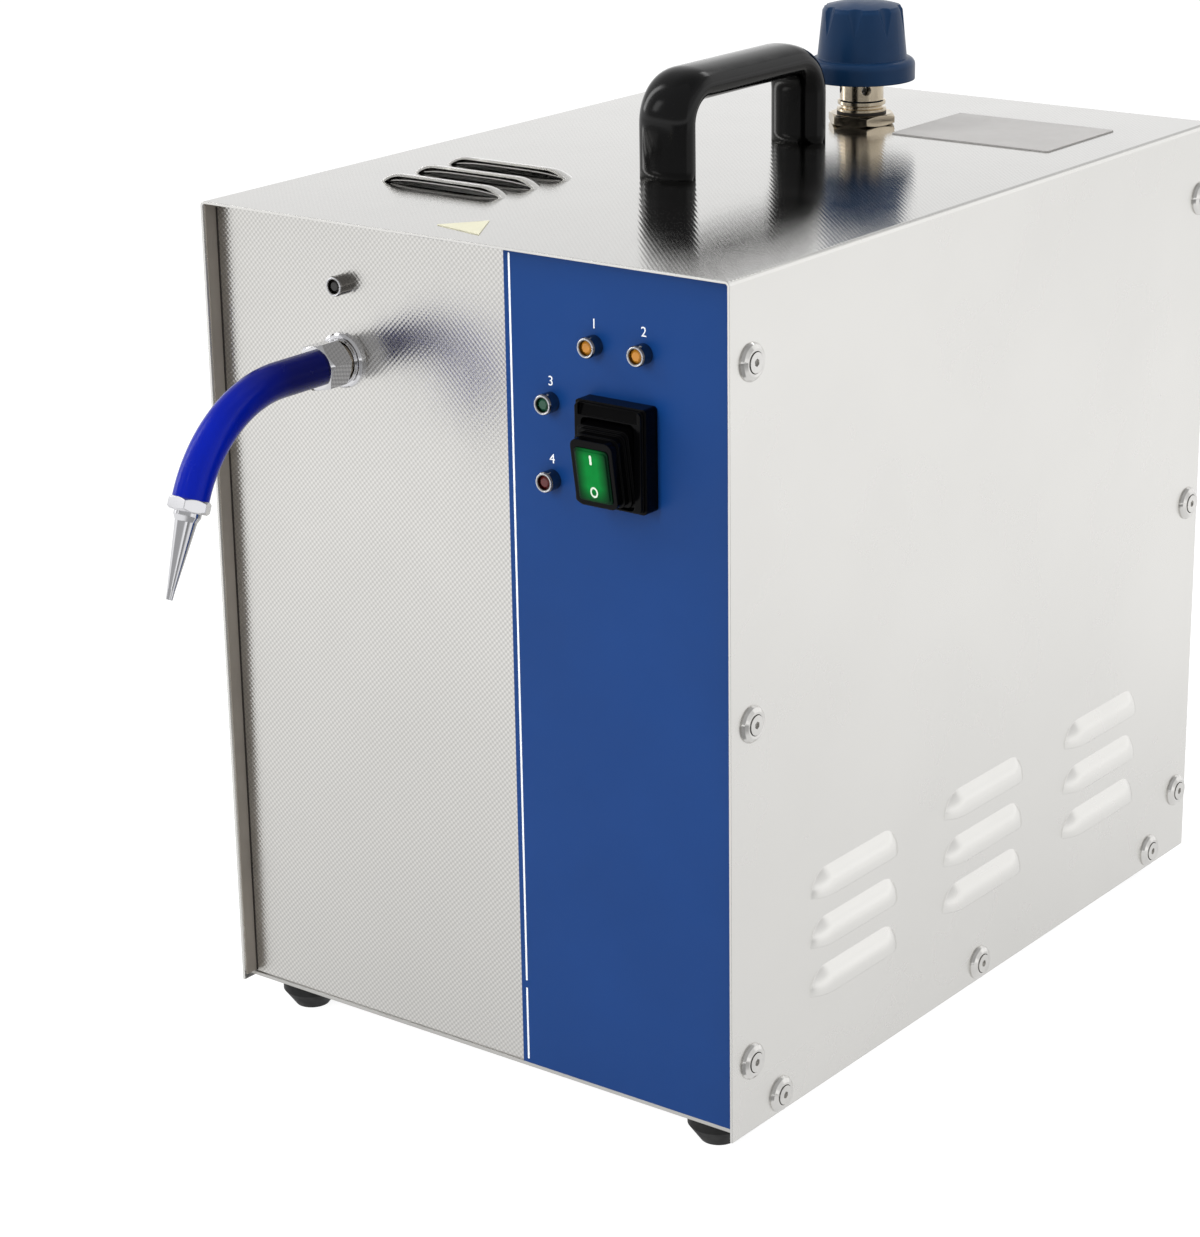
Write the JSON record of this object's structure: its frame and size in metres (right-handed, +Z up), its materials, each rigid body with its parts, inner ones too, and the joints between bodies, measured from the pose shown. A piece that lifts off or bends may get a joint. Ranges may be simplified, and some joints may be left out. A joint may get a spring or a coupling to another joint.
{
  "type": "jewelry steam cleaner",
  "caption": "Counter-top boiler steam cleaner: steel case with carrying handle, screw filler cap, bent swivelling spout, signal lamps and a lit rocker switch.",
  "frame": {"origin": "middle of the footprint of the whole part, on the plane the feet stand on", "axes": "+Z up, -Y towards the front panel with the spout and the lamps, +X to the right seen from the front"},
  "size_m": [0.258, 0.4876, 0.394],
  "materials": {
    "hood_steel": "satin",
    "front_linen": "patterned",
    "overlay_blue": "satin",
    "tray_steel": "satin",
    "foot_rubber": "matte",
    "screw_steel": "satin",
    "handle_black": "gloss",
    "plate_grey": "matte",
    "patch_yellow": "matte",
    "brass": "satin",
    "boiler_steel": "satin",
    "seal_rubber": "matte",
    "cap_blue": "satin",
    "spring_steel": "satin",
    "chrome": "polished",
    "nickel_brass": "satin",
    "sleeve_blue": "satin",
    "lens_amber": "gloss",
    "lens_green": "gloss",
    "lens_red": "gloss",
    "lens_dark": "gloss",
    "switch_black": "gloss",
    "boot_black": "satin",
    "rocker_green": "gloss",
    "copper": "satin",
    "coil_black": "matte",
    "lever_red": "gloss",
    "board_green": "matte"
  },
  "bodies": {
    "case": {"hood": "hood_steel", "front_panel": "front_linen", "control_overlay": "overlay_blue", "rear_panel": "hood_steel", "base_tray": "tray_steel", "foot_front_left": "foot_rubber", "foot_front_right": "foot_rubber", "foot_rear_left": "foot_rubber", "foot_rear_right": "foot_rubber", "foot_screws": "screw_steel", "cup_washers": "screw_steel", "case_screws": "screw_steel", "handle": "handle_black", "handle_screws": "screw_steel", "top_plate": "plate_grey", "top_patch": "patch_yellow", "rating_plate": "plate_grey", "filler_neck": "boiler_steel", "filler_nut": "brass", "spout_flange": "chrome", "spout_bulkhead": "nickel_brass", "lamp_bezel_1": "chrome", "lamp_bezel_2": "chrome", "lamp_bezel_3": "chrome", "lamp_bezel_4": "chrome", "lamp_lens_1": "lens_amber", "lamp_lens_2": "lens_amber", "lamp_lens_3": "lens_green", "lamp_lens_4": "lens_red", "pilot_bezel": "chrome", "pilot_lens": "lens_dark", "panel_nuts": "nickel_brass", "switch_housing": "switch_black", "boiler": "boiler_steel", "boiler_saddles": "tray_steel", "heater": "copper", "valve_body": "nickel_brass", "valve_coil": "coil_black", "valve_spring": "spring_steel", "pipework": "copper", "pressure_switch": "nickel_brass", "drain_valve": "brass", "mains_inlet": "coil_black", "inlet_pins": "nickel_brass", "foot_jack": "coil_black", "control_board": "board_green"},
    "rocker": {"switch_boot": "boot_black", "switch_lens": "rocker_green"},
    "cap_carrier": {"cap_gasket": "seal_rubber"},
    "cap": {"cap_valve_body": "brass", "cap_knob": "cap_blue", "relief_spring": "spring_steel"},
    "relief": {"relief_poppet": "boiler_steel"},
    "spout": {"spout_nut": "chrome", "spout_tube": "chrome", "spout_sleeve": "sleeve_blue", "spout_collar": "chrome", "spout_nozzle": "chrome"},
    "valve_core": {"valve_plunger": "spring_steel"},
    "drain_lever": {"drain_lever": "lever_red"}
  },
  "joints": [
    {"name": "power_rocker", "type": "hinge", "parent": "case", "child": "rocker", "pos_m": [0.0732, -0.14785, 0.2692], "axis": [1, 0, 0], "range_deg": [-18, 0]},
    {"name": "cap_rise", "type": "slide", "parent": "case", "child": "cap_carrier", "axis": [0, 0, 1], "range_m": [0, 0.006]},
    {"name": "cap_turn", "type": "hinge", "parent": "cap_carrier", "child": "cap", "pos_m": [0, 0.12575, 0.342], "axis": [0, 0, 1], "range_deg": [0, 1080]},
    {"name": "relief_lift", "type": "slide", "parent": "cap", "child": "relief", "axis": [0, 0, 1], "range_m": [0, 0.003], "stiffness_N_per_m": 1500, "springref_m": -0.004, "deforming": ["relief_spring"]},
    {"name": "spout_swivel", "type": "hinge", "parent": "case", "child": "spout", "pos_m": [-0.0606, -0.14225, 0.2864], "axis": [0, 1, 0], "range_deg": [-60, 60]},
    {"name": "valve_lift", "type": "slide", "parent": "case", "child": "valve_core", "axis": [0, 0, 1], "range_m": [0, 0.003], "stiffness_N_per_m": 800, "springref_m": -0.003, "deforming": ["valve_spring"]},
    {"name": "drain_turn", "type": "hinge", "parent": "case", "child": "drain_lever", "pos_m": [0, 0.21875, 0.07], "axis": [0, 0, 1], "range_deg": [0, 90]}
  ],
  "couplings": [
    {"joint": "cap_turn", "follows": "cap_rise", "rad_per_m": 3141.6}
  ]
}
